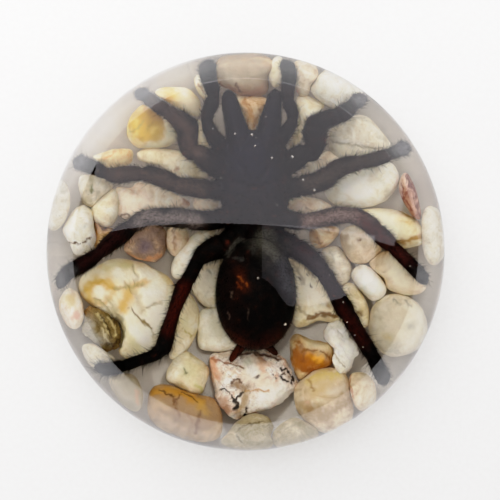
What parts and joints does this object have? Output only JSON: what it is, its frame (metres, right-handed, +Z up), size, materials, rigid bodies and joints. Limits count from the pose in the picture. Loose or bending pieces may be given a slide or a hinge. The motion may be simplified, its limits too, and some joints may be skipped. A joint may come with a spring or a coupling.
{
  "type": "spider in clear resin dome with pebbles",
  "caption": "Dark hairy spider cast in a clear resin dome over a bed of tumbled river pebbles, a flat-bottomed desk ornament.",
  "frame": {"origin": "middle of the dome's flat foot", "axes": "+Z up through the crown, +Y towards the spider's head, +X to the right of the picture"},
  "size_m": [0.088, 0.088, 0.037],
  "materials": {
    "clear_resin": "clear cast resin, polished",
    "dark_cuticle": "dry dark brown cuticle with fine hairs",
    "amber_stone": "amber chert, tumbled smooth",
    "banded_stone": "pale banded agate with swirling lines",
    "beige_stone": "beige sandstone, water-worn",
    "brown_stone": "brown and tan ironstone, water-worn",
    "cream_stone": "cream chert, tumbled smooth",
    "grey_stone": "pale grey quartzite with dark specks",
    "milky_stone": "milky quartz, tumbled smooth",
    "mottled_stone": "mauve-brown mottled granite, water-worn",
    "orange_stone": "orange iron-stained quartz, tumbled",
    "pink_stone": "pink feldspar, water-worn",
    "red_stone": "dark red jasper, water-worn",
    "rough_stone": "rough broken white quartz with rust and cracks",
    "white_stone": "white quartz, tumbled smooth",
    "yellow_stone": "iron-stained yellow quartz, tumbled smooth"
  },
  "bodies": {
    "root": {"resin_base": "clear_resin", "resin_dome": "clear_resin", "spider": "dark_cuticle", "rough_rock": "rough_stone", "amber_stone_1": "amber_stone", "banded_stone_1": "banded_stone", "banded_stone_2": "banded_stone", "beige_stone_1": "beige_stone", "beige_stone_2": "beige_stone", "beige_stone_3": "beige_stone", "beige_stone_4": "beige_stone", "beige_stone_5": "beige_stone", "beige_stone_6": "beige_stone", "brown_stone_1": "brown_stone", "brown_stone_2": "brown_stone", "brown_stone_3": "brown_stone", "brown_stone_4": "brown_stone", "cream_stone_1": "cream_stone", "cream_stone_2": "cream_stone", "cream_stone_3": "cream_stone", "cream_stone_4": "cream_stone", "cream_stone_5": "cream_stone", "cream_stone_6": "cream_stone", "cream_stone_7": "cream_stone", "cream_stone_8": "cream_stone", "cream_stone_9": "cream_stone", "cream_stone_10": "cream_stone", "grey_stone_1": "grey_stone", "grey_stone_2": "grey_stone", "grey_stone_3": "grey_stone", "grey_stone_4": "grey_stone", "grey_stone_5": "grey_stone", "grey_stone_6": "grey_stone", "grey_stone_7": "grey_stone", "grey_stone_8": "grey_stone", "grey_stone_9": "grey_stone", "grey_stone_10": "grey_stone", "milky_stone_1": "milky_stone", "milky_stone_2": "milky_stone", "milky_stone_3": "milky_stone", "mottled_stone_1": "mottled_stone", "orange_stone_1": "orange_stone", "orange_stone_2": "orange_stone", "orange_stone_3": "orange_stone", "pink_stone_1": "pink_stone", "pink_stone_2": "pink_stone", "pink_stone_3": "pink_stone", "pink_stone_4": "pink_stone", "pink_stone_5": "pink_stone", "pink_stone_6": "pink_stone", "red_stone_1": "red_stone", "white_stone_1": "white_stone", "white_stone_2": "white_stone", "white_stone_3": "white_stone", "white_stone_4": "white_stone", "yellow_stone_1": "yellow_stone", "yellow_stone_2": "yellow_stone", "yellow_stone_3": "yellow_stone", "yellow_stone_4": "yellow_stone"}
  },
  "joints": []
}
